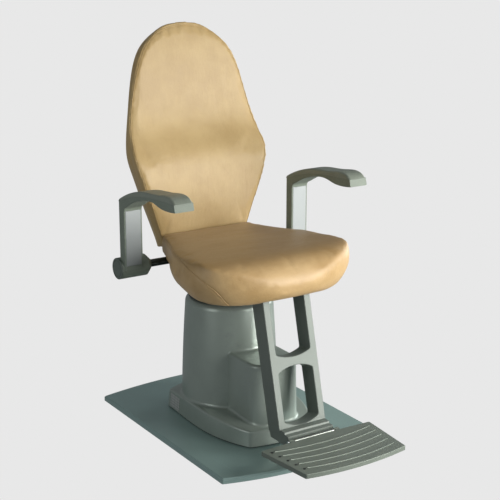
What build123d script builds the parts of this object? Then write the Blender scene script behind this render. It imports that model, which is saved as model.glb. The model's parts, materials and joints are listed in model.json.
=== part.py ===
from build123d import *
from math import cos, hypot, radians, sin
import os

# Powered examination chair: a lift column on a floor plate carries a swivelling seat with a
# high back, two fold-up arms and a footrest with a hinged footplate.
# Millimetres. The origin is on the swivel axis at the floor, +Z up, and the sitter faces -Y.

# ---------------------------------------------------------------- driving dimensions
FIT = 0.05                # radial gap of a running fit
LOOSE = 0.1               # gap between pieces of one body that are bolted together
ON_FOOT = {"align": (Align.CENTER, Align.CENTER, Align.MIN)}

PLATE_HALF = 273.5        # floor plate: half width, thickness, ends at the side and in the middle
PLATE_T = 15.0
PLATE_REAR, PLATE_REAR_MID = 297.0, 327.0
PLATE_FRONT, PLATE_FRONT_MID = -398.0, -443.0

SEAL_T = 3.0              # sealing strip under the cover
COVER_FOOT = PLATE_T + SEAL_T
COVER_WALL = 4.0
COVER_REAR, COVER_FRONT = 166.0, -292.0
COLUMN_R, COLUMN_R_MID, COLUMN_R_TOP = 143.5, 138.5, 128.5
COLUMN_TOP, COLUMN_MOUTH_R, RIM_R = 378.0, 105.0, 18.0
HOUSING_HALF, HOUSING_FRONT, HOUSING_TOP = 80.0, -270.0, 244.0

FLANGE_R, FLANGE_T = 132.0, 12.0
GUIDE_R, GUIDE_WALL, GUIDE_TOP = 95.0, 6.5, 350.0
TUBE_R, TUBE_WALL, TUBE_FOOT = 85.0, 6.0, 85.0
HEAD_R, HEAD_Z, HEAD_T = 98.0, 372.0, 14.0
BOLT_RING_R, BOLT_COUNT, BOLT_R, BOLT_FOOT = 114.0, 6, 6.0, 3.0
ROD_R, ROD_FOOT, ROD_TOP = 14.2, 75.0, 348.0
DRIVE_Z, DRIVE_TOP = 27.0, 60.0
MOTOR_Y, MOTOR_R = -200.0, 36.0
BALL_R, BALL_RING_R, BALL_COUNT = 4.0, 72.0, 24
BALL_Z = HEAD_Z + HEAD_T + 9.0
RACE_IN, RACE_OUT, RACE_GAP = 58.0, 86.0, 2.0
PIN_R, PIN_FOOT = 14.95, 352.0
CARRIER_Z, CARRIER_T = BALL_Z + 9.0, 10.0

PAN_Z, PAN_T = 500.0, 10.0                     # seat board
RAIL_X, RAIL_T = 66.0, 8.0                     # side plates of the seat carrier
BAR_Y, BAR_Z, BAR_R = 83.0, 485.0, 11.0        # cross bar that carries both arms
BARREL_R, BARREL_IN, BARREL_OUT, BAR_END = 31.0, 235.0, 318.0, 312.0
ARM_IN, ARM_OUT = 256.0, 314.0

SEAT_REAR, SEAT_REAR_MID, SEAT_FRONT = 131.0, 137.0, -358.0
BACK_FOOT, BACK_TOP, BACK_DISH = 502.0, 1150.0, 14.0
STRAP_X, STRAP_T = 50.0, 8.0                   # steel strap that holds the back

LEG_OUT, LEG_WALL, LEG_DEPTH = 78.0, 21.0, 54.0
LEG_LEAN, LEG_FACE_Y, LEG_FACE_Z = 13.64, -298.0, 432.0
FRAME_TOP = 470.0
HINGE_Y, HINGE_Z, HINGE_R, HINGE_PIN_R = -430.0, 84.0, 7.0, 4.0
FOOTPLATE_TOP, FOOTPLATE_T = 90.0, 12.0


def at(*points):
    """Locations of points, for solids that stand there."""
    return Locations(*points)


def save(builder, name):
    """Label one finished piece and write it."""
    builder.part.label = name
    export_step(builder.part, f"parts/{name}.step")


os.makedirs("parts", exist_ok=True)


# ---------------------------------------------------------------- outlines of the cover
def plinth_outline(height, inset):
    """Boat-shaped plan of the cover's foot at one height, drawn in all round by inset."""
    rear, front = COVER_REAR - inset, COVER_FRONT + inset
    with BuildSketch(Plane.XY.offset(height)) as outline:
        with BuildLine():
            ThreePointArc((0, rear), (74 - inset / 2, rear - 11.5), (147 - inset, rear - 46))
            Spline((147 - inset, rear - 46), (155.5 - inset, -30), (150.5 - inset, -150),
                   (134 - inset, -214), (106 - inset, front + 15.5))
            ThreePointArc((106 - inset, front + 15.5), (54 - inset / 2, front + 4), (0, front))
            mirror(about=Plane.YZ)
        make_face()
        fillet(outline.vertices().filter_by(lambda v: abs(v.X) > 50 and v.Y > 0), 12)
        fillet(outline.vertices().filter_by(lambda v: abs(v.X) > 85 and v.Y < front + 20), 20)
    return outline.sketch


def plinth_block(inset, foot):
    """Solid of the cover's foot, its top crowned from front to rear."""
    with BuildPart() as block:
        loft([plinth_outline(foot, inset), plinth_outline(90, inset + 6)])
        with BuildSketch(Plane.YZ):
            with BuildLine():
                Spline((180, 64 - inset), (0, 75 - inset), (-120, 74 - inset), (-300, 59 - inset))
                Polyline((-300, 59 - inset), (-300, 0), (180, 0), (180, 64 - inset))
            make_face()
        extrude(amount=200, both=True, mode=Mode.INTERSECT)
    return block.part


def column_block(inset, foot):
    """Solid of the cover's round part, narrower towards its rounded rim."""
    top = COLUMN_TOP - inset
    with BuildPart() as block:
        with BuildSketch(Plane.XZ):
            with BuildLine():
                ThreePointArc((COLUMN_R - inset, foot), (COLUMN_R_MID - inset, 210),
                              (COLUMN_R_TOP - inset, top))
                Polyline((COLUMN_R_TOP - inset, top), (0, top), (0, foot), (COLUMN_R - inset, foot))
            make_face()
        revolve(axis=Axis.Z)
        fillet(block.edges().group_by(Axis.Z)[-1], RIM_R - inset)
    return block.part


def housing_outline(height, inset):
    """Plan of the motor housing at one height, with softly bowed walls and round corners."""
    half, front = HOUSING_HALF - inset, HOUSING_FRONT + inset
    with BuildSketch(Plane.XY.offset(height)) as outline:
        with BuildLine():
            Line((0, -40), (half - 2, -40))
            ThreePointArc((half - 2, -40), (half, -150), (half - 2, front + 4))
            ThreePointArc((half - 2, front + 4), (half / 2, front + 1), (0, front))
            mirror(about=Plane.YZ)
        make_face()
        fillet(outline.vertices().filter_by(lambda v: abs(v.X) > 50 and v.Y < -200), 46)
    return outline.sketch


def housing_block(inset, foot):
    """Solid of the motor housing, with a little draft."""
    with BuildPart() as block:
        loft([housing_outline(foot, inset), housing_outline(HOUSING_TOP - inset, inset + 3)])
    return block.part


def is_cover_seam(edge):
    """True for the inner corners where the column and the housing meet the cover's foot."""
    middle = edge.center()
    out = hypot(middle.X, middle.Y)
    round_foot = abs(out - COLUMN_R) < 2
    housing_foot = middle.Y < -120 and out < 280 and abs(middle.X) < HOUSING_HALF + 2
    return 60 < middle.Z < 90 and (round_foot or housing_foot)


# ---------------------------------------------------------------- base: plate and cover
COVER_BOSSES = [(side * x, y, tall) for side in (-1, 1)
                for x, y, tall in ((128, 96, 50), (141, -100, 53), (90, -252, 43))]
SCREW_R, SCREW_HEAD_R, HEAD_CONE = 2.0, 5.0, 3.0
INLET_W, INLET_H, INLET_Z = 29.0, 22.0, 40.0
LABEL_T, LABEL_W, LABEL_H, LABEL_Y, LABEL_Z = 0.8, 56.0, 40.0, 74.0, 42.0

with BuildPart() as floor_plate:
    with BuildSketch() as plan:
        with BuildLine():
            Line((PLATE_HALF, PLATE_FRONT), (PLATE_HALF, PLATE_REAR))
            ThreePointArc((PLATE_HALF, PLATE_REAR), (0, PLATE_REAR_MID), (-PLATE_HALF, PLATE_REAR))
            Line((-PLATE_HALF, PLATE_REAR), (-PLATE_HALF, PLATE_FRONT))
            ThreePointArc((-PLATE_HALF, PLATE_FRONT), (0, PLATE_FRONT_MID), (PLATE_HALF, PLATE_FRONT))
        make_face()
        fillet(plan.vertices(), 5)
    extrude(amount=PLATE_T)
    chamfer(floor_plate.edges().group_by(Axis.Z)[-1], 4, 5)
    with at(*[(x, y, 0) for x, y, tall in COVER_BOSSES]):
        Cone(SCREW_HEAD_R + 0.2, SCREW_R + 0.4, HEAD_CONE, mode=Mode.SUBTRACT, **ON_FOOT)
        Cylinder(SCREW_R + 0.4, PLATE_T, mode=Mode.SUBTRACT, **ON_FOOT)
    with at((0, 0, BOLT_FOOT)):
        with PolarLocations(BOLT_RING_R, BOLT_COUNT):
            Cylinder(BOLT_R + LOOSE, PLATE_T, mode=Mode.SUBTRACT, **ON_FOOT)
save(floor_plate, "floor_plate")

with BuildPart() as base_cover:
    add(plinth_block(0, COVER_FOOT))
    fillet(base_cover.faces().sort_by(Axis.Z)[-1].edges(), 6)
    add(column_block(0, 40))
    add(housing_block(0, 40))
    fillet(base_cover.faces().filter_by(Plane.XY).sort_by(Axis.Z)[-2].edges(), 9)
    fillet(base_cover.edges().filter_by(is_cover_seam), 8)
    add(plinth_block(COVER_WALL, COVER_FOOT), mode=Mode.SUBTRACT)
    add(column_block(COVER_WALL, 30), mode=Mode.SUBTRACT)
    add(housing_block(COVER_WALL, 30), mode=Mode.SUBTRACT)
    with at((0, 0, COLUMN_TOP - 30)):
        Cylinder(COLUMN_MOUTH_R, 60, mode=Mode.SUBTRACT, **ON_FOOT)
    for x, y, tall in COVER_BOSSES:
        with at((x, y, COVER_FOOT)):
            Cylinder(6, tall, **ON_FOOT)
            Cylinder(SCREW_R + LOOSE, 24, mode=Mode.SUBTRACT, **ON_FOOT)
    with at((0, COVER_REAR, INLET_Z)):
        Box(INLET_W, 40, INLET_H, mode=Mode.SUBTRACT)
save(base_cover, "base_cover")

with BuildPart() as cover_seal:
    extrude(plinth_outline(PLATE_T, 2), amount=SEAL_T)
    extrude(plinth_outline(PLATE_T, 10), amount=SEAL_T, mode=Mode.SUBTRACT)
    with at(*[(x, y, PLATE_T) for x, y, tall in COVER_BOSSES]):
        Cylinder(SCREW_R + 0.5, SEAL_T, mode=Mode.SUBTRACT, **ON_FOOT)
save(cover_seal, "cover_seal")

with BuildPart() as rating_plate:
    add(plinth_block(-LABEL_T, COVER_FOOT))
    add(plinth_block(0, COVER_FOOT), mode=Mode.SUBTRACT)
    with at((-150, LABEL_Y, LABEL_Z)):
        Box(30, LABEL_W, LABEL_H, mode=Mode.INTERSECT)
save(rating_plate, "rating_plate")

with BuildPart() as cover_screws:
    with at(*[(x, y, 0.3) for x, y, tall in COVER_BOSSES]):
        Cone(SCREW_HEAD_R - 0.2, SCREW_R, HEAD_CONE - 0.2, **ON_FOOT)
        Cylinder(SCREW_R, COVER_FOOT + 20, **ON_FOOT)
save(cover_screws, "cover_screws")

with BuildPart() as mains_inlet:
    inlet_face = COVER_REAR + 0.1
    with at((0, inlet_face, INLET_Z)):
        Box(46, 3, 30, align=(Align.CENTER, Align.MIN, Align.CENTER))
    fillet(mains_inlet.edges().filter_by(Axis.Y), 5)
    with at((0, inlet_face, INLET_Z)):
        Box(INLET_W - 1, 26, INLET_H - 1, align=(Align.CENTER, Align.MAX, Align.CENTER))
    with at((0, inlet_face + 3, INLET_Z)):
        Box(23, 17, 15, align=(Align.CENTER, Align.MAX, Align.CENTER), mode=Mode.SUBTRACT)
    with at(*[(x, inlet_face - 15, INLET_Z) for x in (-7, 0, 7)]):
        Box(2, 12, 5, align=(Align.CENTER, Align.MIN, Align.CENTER))
save(mains_inlet, "mains_inlet")

# ---------------------------------------------------------------- base: guide and drive
SLOT_HALF, SLOT_TOP = 37.0, 78.0
BUSH_FOOT, BUSH_LIP = 308.0, 4.0

with BuildPart() as guide_column:
    with at((0, 0, PLATE_T)):
        Cylinder(FLANGE_R, FLANGE_T, **ON_FOOT)
        Cylinder(GUIDE_R, GUIDE_TOP - PLATE_T, **ON_FOOT)
        Cylinder(GUIDE_R - GUIDE_WALL, GUIDE_TOP, mode=Mode.SUBTRACT, **ON_FOOT)
        with PolarLocations(BOLT_RING_R, BOLT_COUNT):
            Cylinder(BOLT_R + LOOSE, FLANGE_T, mode=Mode.SUBTRACT, **ON_FOOT)
    with at((0, -GUIDE_R, DRIVE_Z)):
        Box(2 * SLOT_HALF, 60, SLOT_TOP - DRIVE_Z, mode=Mode.SUBTRACT, **ON_FOOT)
save(guide_column, "guide_column")

with BuildPart() as column_bolts:
    with at((0, 0, BOLT_FOOT)):
        with PolarLocations(BOLT_RING_R, BOLT_COUNT):
            Cylinder(BOLT_R, PLATE_T + FLANGE_T - BOLT_FOOT, **ON_FOOT)
    with BuildSketch(Plane.XY.offset(PLATE_T + FLANGE_T)):
        with PolarLocations(BOLT_RING_R, BOLT_COUNT):
            RegularPolygon(9, 6, major_radius=False)
    extrude(amount=8)
save(column_bolts, "column_bolts")

with BuildPart() as guide_bush:
    with at((0, 0, BUSH_FOOT)):
        Cylinder(GUIDE_R - GUIDE_WALL - LOOSE, GUIDE_TOP - BUSH_FOOT, **ON_FOOT)
    with at((0, 0, GUIDE_TOP)):
        Cylinder(GUIDE_R, BUSH_LIP, **ON_FOOT)
    with at((0, 0, BUSH_FOOT)):
        Cylinder(TUBE_R + FIT, 80, mode=Mode.SUBTRACT, **ON_FOOT)
save(guide_bush, "guide_bush")

with BuildPart() as drive_gearbox:
    with BuildSketch(Plane.XY.offset(DRIVE_Z)):
        with Locations((0, MOTOR_Y / 2)):
            SlotCenterToCenter(-MOTOR_Y, 66, rotation=90)
    extrude(amount=DRIVE_TOP - DRIVE_Z)
    fillet(drive_gearbox.edges().group_by(Axis.Z)[-1], 3)
    with at((0, MOTOR_Y, PLATE_T)):
        Cylinder(20, DRIVE_Z - PLATE_T, **ON_FOOT)
save(drive_gearbox, "drive_gearbox")

with BuildPart() as lift_motor:
    with at((0, MOTOR_Y, DRIVE_TOP)):
        Cylinder(MOTOR_R - 4, 6, **ON_FOOT)
        with at((0, 0, 6)):
            Cylinder(MOTOR_R, 104, **ON_FOOT)
    fillet(lift_motor.edges().group_by(Axis.Z)[-1], 4)
    with at((0, MOTOR_Y, DRIVE_TOP + 110)):
        Cylinder(MOTOR_R - 8, 14, **ON_FOOT)
save(lift_motor, "lift_motor")

with BuildPart() as actuator_body:
    with at((0, 0, DRIVE_TOP)):
        Cylinder(24, 270, **ON_FOOT)
        with at((0, 0, 10)):
            Cylinder(ROD_R + FIT, 270, mode=Mode.SUBTRACT, **ON_FOOT)
save(actuator_body, "actuator_body")

with BuildPart() as control_box:
    with at((56, MOTOR_Y + 11, 90)):
        Box(26, 78, 120, **ON_FOOT)
    fillet(control_box.edges().filter_by(Axis.Z), 3)
    with at((60, MOTOR_Y - 15, PLATE_T), (60, MOTOR_Y + 35, PLATE_T)):
        Box(8, 8, 90 - PLATE_T, **ON_FOOT)
save(control_box, "control_box")

# ---------------------------------------------------------------- lift: telescopic tube
with BuildPart() as lift_tube:
    with at((0, 0, TUBE_FOOT)):
        Cylinder(TUBE_R, HEAD_Z - TUBE_FOOT, **ON_FOOT)
        Cylinder(TUBE_R - TUBE_WALL, HEAD_Z - TUBE_FOOT, mode=Mode.SUBTRACT, **ON_FOOT)
    with at((0, 0, ROD_TOP - 8)):
        Cylinder(TUBE_R - TUBE_WALL, 8, **ON_FOOT)
        Cylinder(10 + LOOSE, 8, mode=Mode.SUBTRACT, **ON_FOOT)
    with at((0, 0, HEAD_Z)):
        Cylinder(HEAD_R, HEAD_T, **ON_FOOT)
        Cylinder(20 + LOOSE, HEAD_T, mode=Mode.SUBTRACT, **ON_FOOT)
save(lift_tube, "lift_tube")

with BuildPart() as slide_ring:
    with at((0, 0, TUBE_FOOT - 4)):
        Cylinder(GUIDE_R - GUIDE_WALL - FIT, 24, **ON_FOOT)
        Cylinder(TUBE_R - TUBE_WALL, 24, mode=Mode.SUBTRACT, **ON_FOOT)
        with at((0, 0, 4)):
            Cylinder(TUBE_R + LOOSE, 24, mode=Mode.SUBTRACT, **ON_FOOT)
save(slide_ring, "slide_ring")

with BuildPart() as actuator_rod:
    with at((0, 0, ROD_FOOT)):
        Cylinder(ROD_R, ROD_TOP - 8 - ROD_FOOT, **ON_FOOT)
    with at((0, 0, ROD_TOP - 8)):
        Cylinder(10, 10, **ON_FOOT)
save(actuator_rod, "actuator_rod")

with BuildPart() as swivel_bush:
    with at((0, 0, HEAD_Z - 3)):
        Cylinder(24, 3, **ON_FOOT)
        Cylinder(20, HEAD_T + 3, **ON_FOOT)
        Cylinder(PIN_R + FIT, HEAD_T + 3, mode=Mode.SUBTRACT, **ON_FOOT)
save(swivel_bush, "swivel_bush")


def bearing_race(name, foot, top):
    """One grooved ring of the swivel bearing."""
    with BuildPart() as race:
        with at((0, 0, foot)):
            Cylinder(RACE_OUT, top - foot, **ON_FOOT)
            Cylinder(RACE_IN, top - foot, mode=Mode.SUBTRACT, **ON_FOOT)
        with at((0, 0, BALL_Z)):
            Torus(BALL_RING_R, BALL_R + LOOSE, mode=Mode.SUBTRACT)
    save(race, name)


bearing_race("lower_race", HEAD_Z + HEAD_T, BALL_Z - RACE_GAP)
bearing_race("upper_race", BALL_Z + RACE_GAP, CARRIER_Z)

with BuildPart() as bearing_balls:
    with at((0, 0, BALL_Z)):
        with PolarLocations(BALL_RING_R, BALL_COUNT):
            Sphere(BALL_R)
save(bearing_balls, "bearing_balls")

with BuildPart() as ball_cage:
    with at((0, 0, BALL_Z - 1)):
        Cylinder(BALL_RING_R + 7, 2, **ON_FOOT)
        Cylinder(BALL_RING_R - 7, 2, mode=Mode.SUBTRACT, **ON_FOOT)
        with PolarLocations(BALL_RING_R, BALL_COUNT):
            Cylinder(BALL_R + 0.2, 2, mode=Mode.SUBTRACT, **ON_FOOT)
save(ball_cage, "ball_cage")

# ---------------------------------------------------------------- seat: carrier under the cushion
CARRIER_TOP = CARRIER_Z + CARRIER_T
RAIL_REAR, RAIL_STEP_Y, RAIL_FRONT = 112.0, -145.0, -222.0
STRAP_Z = 440.0
STRAP_BOLTS, STRAP_BOLT_R = [(x, y) for x in (-32, 32) for y in (58, 92)], 4.0
FOOT_ARM_FRONT = -285.0
FOOT_BOLTS, FOOT_BOLT_R = [(x, y) for x in (-67, 67) for y in (-252, -272)], 4.0

with BuildPart() as swivel_pin:
    with at((0, 0, PIN_FOOT)):
        Cylinder(PIN_R, CARRIER_TOP - PIN_FOOT, **ON_FOOT)
    with at((0, 0, CARRIER_TOP)):
        Cylinder(24, 6, **ON_FOOT)
    with BuildSketch(Plane.XY.offset(PIN_FOOT)):
        RegularPolygon(21, 6, major_radius=False)
    extrude(amount=12)
save(swivel_pin, "swivel_pin")

with BuildPart() as seat_carrier:
    with at((0, 0, CARRIER_Z)):
        Cylinder(100, CARRIER_T, **ON_FOOT)
    with BuildSketch(Plane.YZ.offset(RAIL_X - RAIL_T / 2)):
        with BuildLine():
            Polyline((RAIL_FRONT, 446), (RAIL_FRONT, FRAME_TOP), (RAIL_STEP_Y, FRAME_TOP),
                     (RAIL_STEP_Y, PAN_Z), (RAIL_REAR, PAN_Z), (RAIL_REAR, STRAP_Z),
                     (58, CARRIER_Z), (-58, CARRIER_Z), (-72, CARRIER_Z + 9), close=True)
        make_face()
        with Locations((BAR_Y, BAR_Z)):
            Circle(BAR_R + LOOSE, mode=Mode.SUBTRACT)
    extrude(amount=RAIL_T)
    mirror(about=Plane.YZ)
    with at((0, RAIL_REAR - 8, STRAP_Z)):
        Box(2 * RAIL_X, 8, PAN_Z - STRAP_Z, align=(Align.CENTER, Align.MIN, Align.MIN))
    with at((0, RAIL_STEP_Y, 432)):
        Box(2 * RAIL_X, 8, PAN_Z - 432, align=(Align.CENTER, Align.MIN, Align.MIN))
    with at((0, 76, STRAP_Z)):
        Box(2 * RAIL_X, 72, 6, **ON_FOOT)
    with at(*[(x, y, STRAP_Z) for x, y in STRAP_BOLTS]):
        Cylinder(STRAP_BOLT_R + LOOSE, 6, mode=Mode.SUBTRACT, **ON_FOOT)
    with at((0, (FOOT_ARM_FRONT + RAIL_STEP_Y) / 2, FRAME_TOP)):
        Box(2 * LEG_OUT - 4, RAIL_STEP_Y - FOOT_ARM_FRONT, 8, **ON_FOOT)
    with at(*[(x, y, FRAME_TOP) for x, y in FOOT_BOLTS]):
        Cylinder(FOOT_BOLT_R + LOOSE, 8, mode=Mode.SUBTRACT, **ON_FOOT)
    with at((0, 0, PIN_FOOT)):
        Cylinder(PIN_R + LOOSE, 100, mode=Mode.SUBTRACT, **ON_FOOT)
save(seat_carrier, "seat_carrier")

with BuildPart() as column_collar:
    with at((0, 0, COLUMN_TOP + 4)):
        Cylinder(121, 26, **ON_FOOT)
    fillet(column_collar.edges().group_by(Axis.Z)[-1], 6)
    with at((0, 0, COLUMN_TOP + 4)):
        Cylinder(118, 23, mode=Mode.SUBTRACT, **ON_FOOT)
        Cylinder(101, 40, mode=Mode.SUBTRACT, **ON_FOOT)
save(column_collar, "column_collar")

with BuildPart() as seat_board:
    with BuildSketch(Plane.XY.offset(PAN_Z)):
        with Locations((0, -60)):
            RectangleRounded(246, 330, 30)
    extrude(amount=PAN_T)
save(seat_board, "seat_board")

BOARD_SCREWS = [(x, y) for x in (-RAIL_X, RAIL_X) for y in (-110, -20, 60)]
with BuildPart() as board_screws:
    with at(*[(x, y, PAN_Z + PAN_T) for x, y in BOARD_SCREWS]):
        Cylinder(5, 2.4, **ON_FOOT)
save(board_screws, "board_screws")


# ---------------------------------------------------------------- seat: cushion and back
def seat_outline(height, inset):
    """Plan of the seat cushion at one height: narrow at the back, a wide round front."""
    with BuildSketch(Plane.XY.offset(height)) as outline:
        with BuildLine():
            ThreePointArc((0, SEAT_REAR_MID), (78, 135.5), (155 - inset, SEAT_REAR))
            Spline((155 - inset, SEAT_REAR), (199 - inset, 10), (231 - inset, -60),
                   (252 - inset, -140), (259 - inset, -200), (248 - inset, -252 + inset / 2),
                   (210 - inset / 2, -299 + inset), (126, -340 + inset), (0, SEAT_FRONT + inset),
                   tangents=((0.35, -1), (-1, 0)))
            mirror(about=Plane.YZ)
        make_face()
    return outline.sketch


def back_profile(offset_x, grow):
    """Side view of the back at one place across it: upright foot, waist, leaning head."""
    dish = BACK_DISH * (1 - (offset_x / 220) ** 2)
    with BuildSketch(Plane.YZ.offset(offset_x)) as outline:
        with BuildLine():
            Spline((125 + dish, BACK_FOOT - 2), (122 + dish, 600), (122 + dish, 680),
                   (131 + dish, 750), (146 + dish, 785), (170 + dish, 820), (190 + dish, 860),
                   (203 + dish, 910), (212 + dish, 980), (223 + dish, 1060), (246 + dish, BACK_TOP + 5))
            Line((246 + dish, BACK_TOP + 5), (266 + dish + grow, BACK_TOP + 5))
            Spline((266 + dish + grow, BACK_TOP + 5), (251 + dish + grow, 1040), (236 + dish + grow, 950),
                   (214 + dish + grow, 850), (196 + dish + grow, 720), (172 + dish + grow, BACK_FOOT - 2))
            Line((172 + dish + grow, BACK_FOOT - 2), (125 + dish, BACK_FOOT - 2))
        make_face()
    return outline.sketch


def back_outline(inset, foot):
    """Front view of the back: narrow at the seat, widest at the shoulders, a tapered head."""
    with BuildSketch(Plane.XZ) as outline:
        with BuildLine():
            Line((0, foot), (143 - inset, foot))
            Spline((143 - inset, foot), (155 - inset, 545), (187 - inset, 640), (212 - inset, 720),
                   (226 - inset, 775), (225 - inset, 815), (207 - inset, 900),
                   (182 - inset, 1000), (138 - inset, 1088), (84 - inset / 2, 1130 - inset),
                   (0, BACK_TOP - inset), tangents=((0.2, 1), (-1, 0)))
            mirror(about=Plane.YZ)
        make_face()
    return outline.sketch


def back_block(inset, grow):
    """Solid of the back, its front and rear faces dished across its width."""
    with BuildPart() as block:
        loft([back_profile(x, grow) for x in (-230, 0, 230)])
        extrude(back_outline(inset, BACK_FOOT), amount=400, both=True, mode=Mode.INTERSECT)
    return block.part


with BuildPart() as seat_cushion:
    loft([seat_outline(425, 50), seat_outline(505, 2), seat_outline(575, 12)])
    with BuildSketch(Plane.YZ):
        with BuildLine():
            Spline((140, 549), (60, 551), (-60, 556), (-200, 560), (-276, 557), (-330, 536),
                   (-355, 500), (-349, 464), (-314, 443), (-262, 436), (-200, 445), (-104, 456),
                   (-10, 475), (140, 493))
            Line((140, 493), (140, 549))
        make_face()
    extrude(amount=280, both=True, mode=Mode.INTERSECT)
    with BuildSketch(Plane.XY.offset(400)):
        with Locations((0, -56)):
            RectangleRounded(248, 340, 31)
    extrude(amount=PAN_Z + PAN_T + 3 - 400, mode=Mode.SUBTRACT)
    with at((0, -262, 400)):
        Box(2 * LEG_OUT + 8, 84, 82, mode=Mode.SUBTRACT, **ON_FOOT)
    with at((0, BAR_Y, 400)):
        Box(400, 28, BAR_Z + BAR_R + 2 - 400, mode=Mode.SUBTRACT, **ON_FOOT)
    with at((0, 130, 430)):
        Box(2 * STRAP_X + 12, 60, 62, mode=Mode.SUBTRACT, **ON_FOOT)
save(seat_cushion, "seat_cushion")

SHELL_T = 10.0
STRAP_LEAN, STRAP_TOP = 0.109, 700.0
BACK_BOLTS = [(x, z) for x in (-30, 30) for z in (570, 665)]


def strap_rear(height):
    """Rear face of the strap at one height."""
    return 174 + STRAP_LEAN * (height - 500)


def strap_profile(gap):
    """Side view of the strap, with a gap in front of its upright part."""
    low, high = STRAP_Z - STRAP_T - LOOSE, STRAP_Z - LOOSE
    with BuildSketch(Plane.YZ) as outline:
        with BuildLine():
            Polyline((30, low), (strap_rear(low), low), (strap_rear(STRAP_TOP + gap), STRAP_TOP + gap),
                     (strap_rear(STRAP_TOP + gap) - STRAP_T - gap, STRAP_TOP + gap),
                     (strap_rear(high) - STRAP_T - gap, high), (30, high), close=True)
        make_face()
    return outline.sketch


with BuildPart() as back_cushion:
    add(back_block(0, -SHELL_T))
    extrude(strap_profile(2), amount=STRAP_X + 2, both=True, mode=Mode.SUBTRACT)
    with BuildSketch(Plane.YZ) as behind_strap:
        Polygon((strap_rear(490) - 2, 490), (240, 490), (240, STRAP_TOP + 2),
                (strap_rear(STRAP_TOP + 2) - 2, STRAP_TOP + 2), align=None)
    extrude(amount=STRAP_X + 2, both=True, mode=Mode.SUBTRACT)
    for x, z in BACK_BOLTS:
        with at((x, strap_rear(z) - STRAP_T - 8, z)):
            Cylinder(9, 16, rotation=(90, 0, 0), mode=Mode.SUBTRACT)
save(back_cushion, "back_cushion")

with BuildPart() as back_shell:
    add(back_block(5, 0))
    add(back_block(-8, 0.3 - SHELL_T), mode=Mode.SUBTRACT)
    for x, z in BACK_BOLTS:
        with at((x, strap_rear(z) + 6, z)):
            Cylinder(STRAP_BOLT_R + LOOSE, 60, rotation=(90, 0, 0), mode=Mode.SUBTRACT,
                     align=(Align.CENTER, Align.CENTER, Align.MIN))
save(back_shell, "back_shell")

with BuildPart() as back_strap:
    extrude(strap_profile(0), amount=STRAP_X, both=True)
    with at(*[(x, y, STRAP_Z - 20) for x, y in STRAP_BOLTS]):
        Cylinder(STRAP_BOLT_R + LOOSE, 30, mode=Mode.SUBTRACT, **ON_FOOT)
    for x, z in BACK_BOLTS:
        with at((x, strap_rear(z), z)):
            Cylinder(STRAP_BOLT_R + LOOSE, 60, rotation=(90, 0, 0), mode=Mode.SUBTRACT)
save(back_strap, "back_strap")

with BuildPart() as strap_bolts:
    bolt_head = STRAP_Z - STRAP_T - LOOSE
    with at(*[(x, y, bolt_head) for x, y in STRAP_BOLTS]):
        Cylinder(STRAP_BOLT_R, 22, **ON_FOOT)
    for height in (bolt_head - 5, STRAP_Z + 6):
        with BuildSketch(Plane.XY.offset(height)):
            with Locations(*STRAP_BOLTS):
                RegularPolygon(6.5, 6, major_radius=False)
        extrude(amount=5)
save(strap_bolts, "strap_bolts")

with BuildPart() as back_bolts:
    for x, z in BACK_BOLTS:
        with at((x, strap_rear(z) + 5, z)):
            Cylinder(STRAP_BOLT_R, STRAP_T + 6, rotation=(90, 0, 0), **ON_FOOT)
        with at((x, strap_rear(z) - STRAP_T - 1, z)):
            Cylinder(7, 5, rotation=(90, 0, 0), **ON_FOOT)
save(back_bolts, "back_bolts")

# ---------------------------------------------------------------- arms
CROSSWISE = {"rotation": (0, 90, 0), "align": (Align.CENTER, Align.CENTER, Align.MIN)}
BUSH_R = 15.0
CHAMFER_IN = 14.0
FACE_BORDER, FACE_FOOT, FACE_TOP, FACE_DEPTH = 5.0, 497.0, 657.0, 2.0
ARM_FRONT, ARM_REAR = 50.0, 80.0
SEAM = [(80, 681), (52, 691), (0, 708), (-70, 721), (-140, 728), (-234, 732)]

with BuildPart() as cross_bar:
    with at((-BAR_END, BAR_Y, BAR_Z)):
        Cylinder(BAR_R, 2 * BAR_END, **CROSSWISE)
save(cross_bar, "cross_bar")

with BuildPart() as bar_collars:
    for start in (-RAIL_X - RAIL_T / 2 - 12 - LOOSE, RAIL_X + RAIL_T / 2 + LOOSE):
        with at((start, BAR_Y, BAR_Z)):
            Cylinder(14.5, 12, **CROSSWISE)
            Cylinder(BAR_R + LOOSE, 12, mode=Mode.SUBTRACT, **CROSSWISE)
save(bar_collars, "bar_collars")


def arm_outline():
    """Side view of one arm below its pad: upright, hook and blunt tip."""
    with BuildSketch(Plane.YZ.offset(ARM_IN)) as outline:
        with BuildLine():
            Line((ARM_REAR, BAR_Z), (ARM_REAR, 681))
            Spline(*SEAM)
            Line((-234, 732), (-240, 711))
            Spline((-240, 711), (-213, 707), (-185, 705.5), (-155, 707.5), (-127, 713), (-102, 715),
                   (-72, 712), (-38, 704), (-6, 693), (36, 672), (ARM_FRONT, 650),
                   tangents=((1, -0.2), (0, -1)))
            Line((ARM_FRONT, 650), (ARM_FRONT, BAR_Z))
            Line((ARM_FRONT, BAR_Z), (ARM_REAR, BAR_Z))
        make_face()
    return outline.sketch


def pad_outline():
    """Side view of the arm pad, which follows the seam line and swells over it."""
    with BuildSketch(Plane.YZ.offset(ARM_IN)) as outline:
        with BuildLine():
            Spline(*[(y, z + 0.3) for y, z in SEAM])
            Spline((-234, 732.3), (-226, 738.5), (-140, 741), (-70, 735), (0, 721), (52, 702),
                   (78, 689.5))
            Line((78, 689.5), (80, 681.3))
        make_face()
    return outline.sketch


def finish_arm_side(block, name, side):
    """Write a piece of the right arm as it is, or mirrored for the left."""
    if side < 0:
        with BuildPart() as mirrored:
            mirror(block.part, about=Plane.YZ)
        save(mirrored, name)
    else:
        save(block, name)


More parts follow.
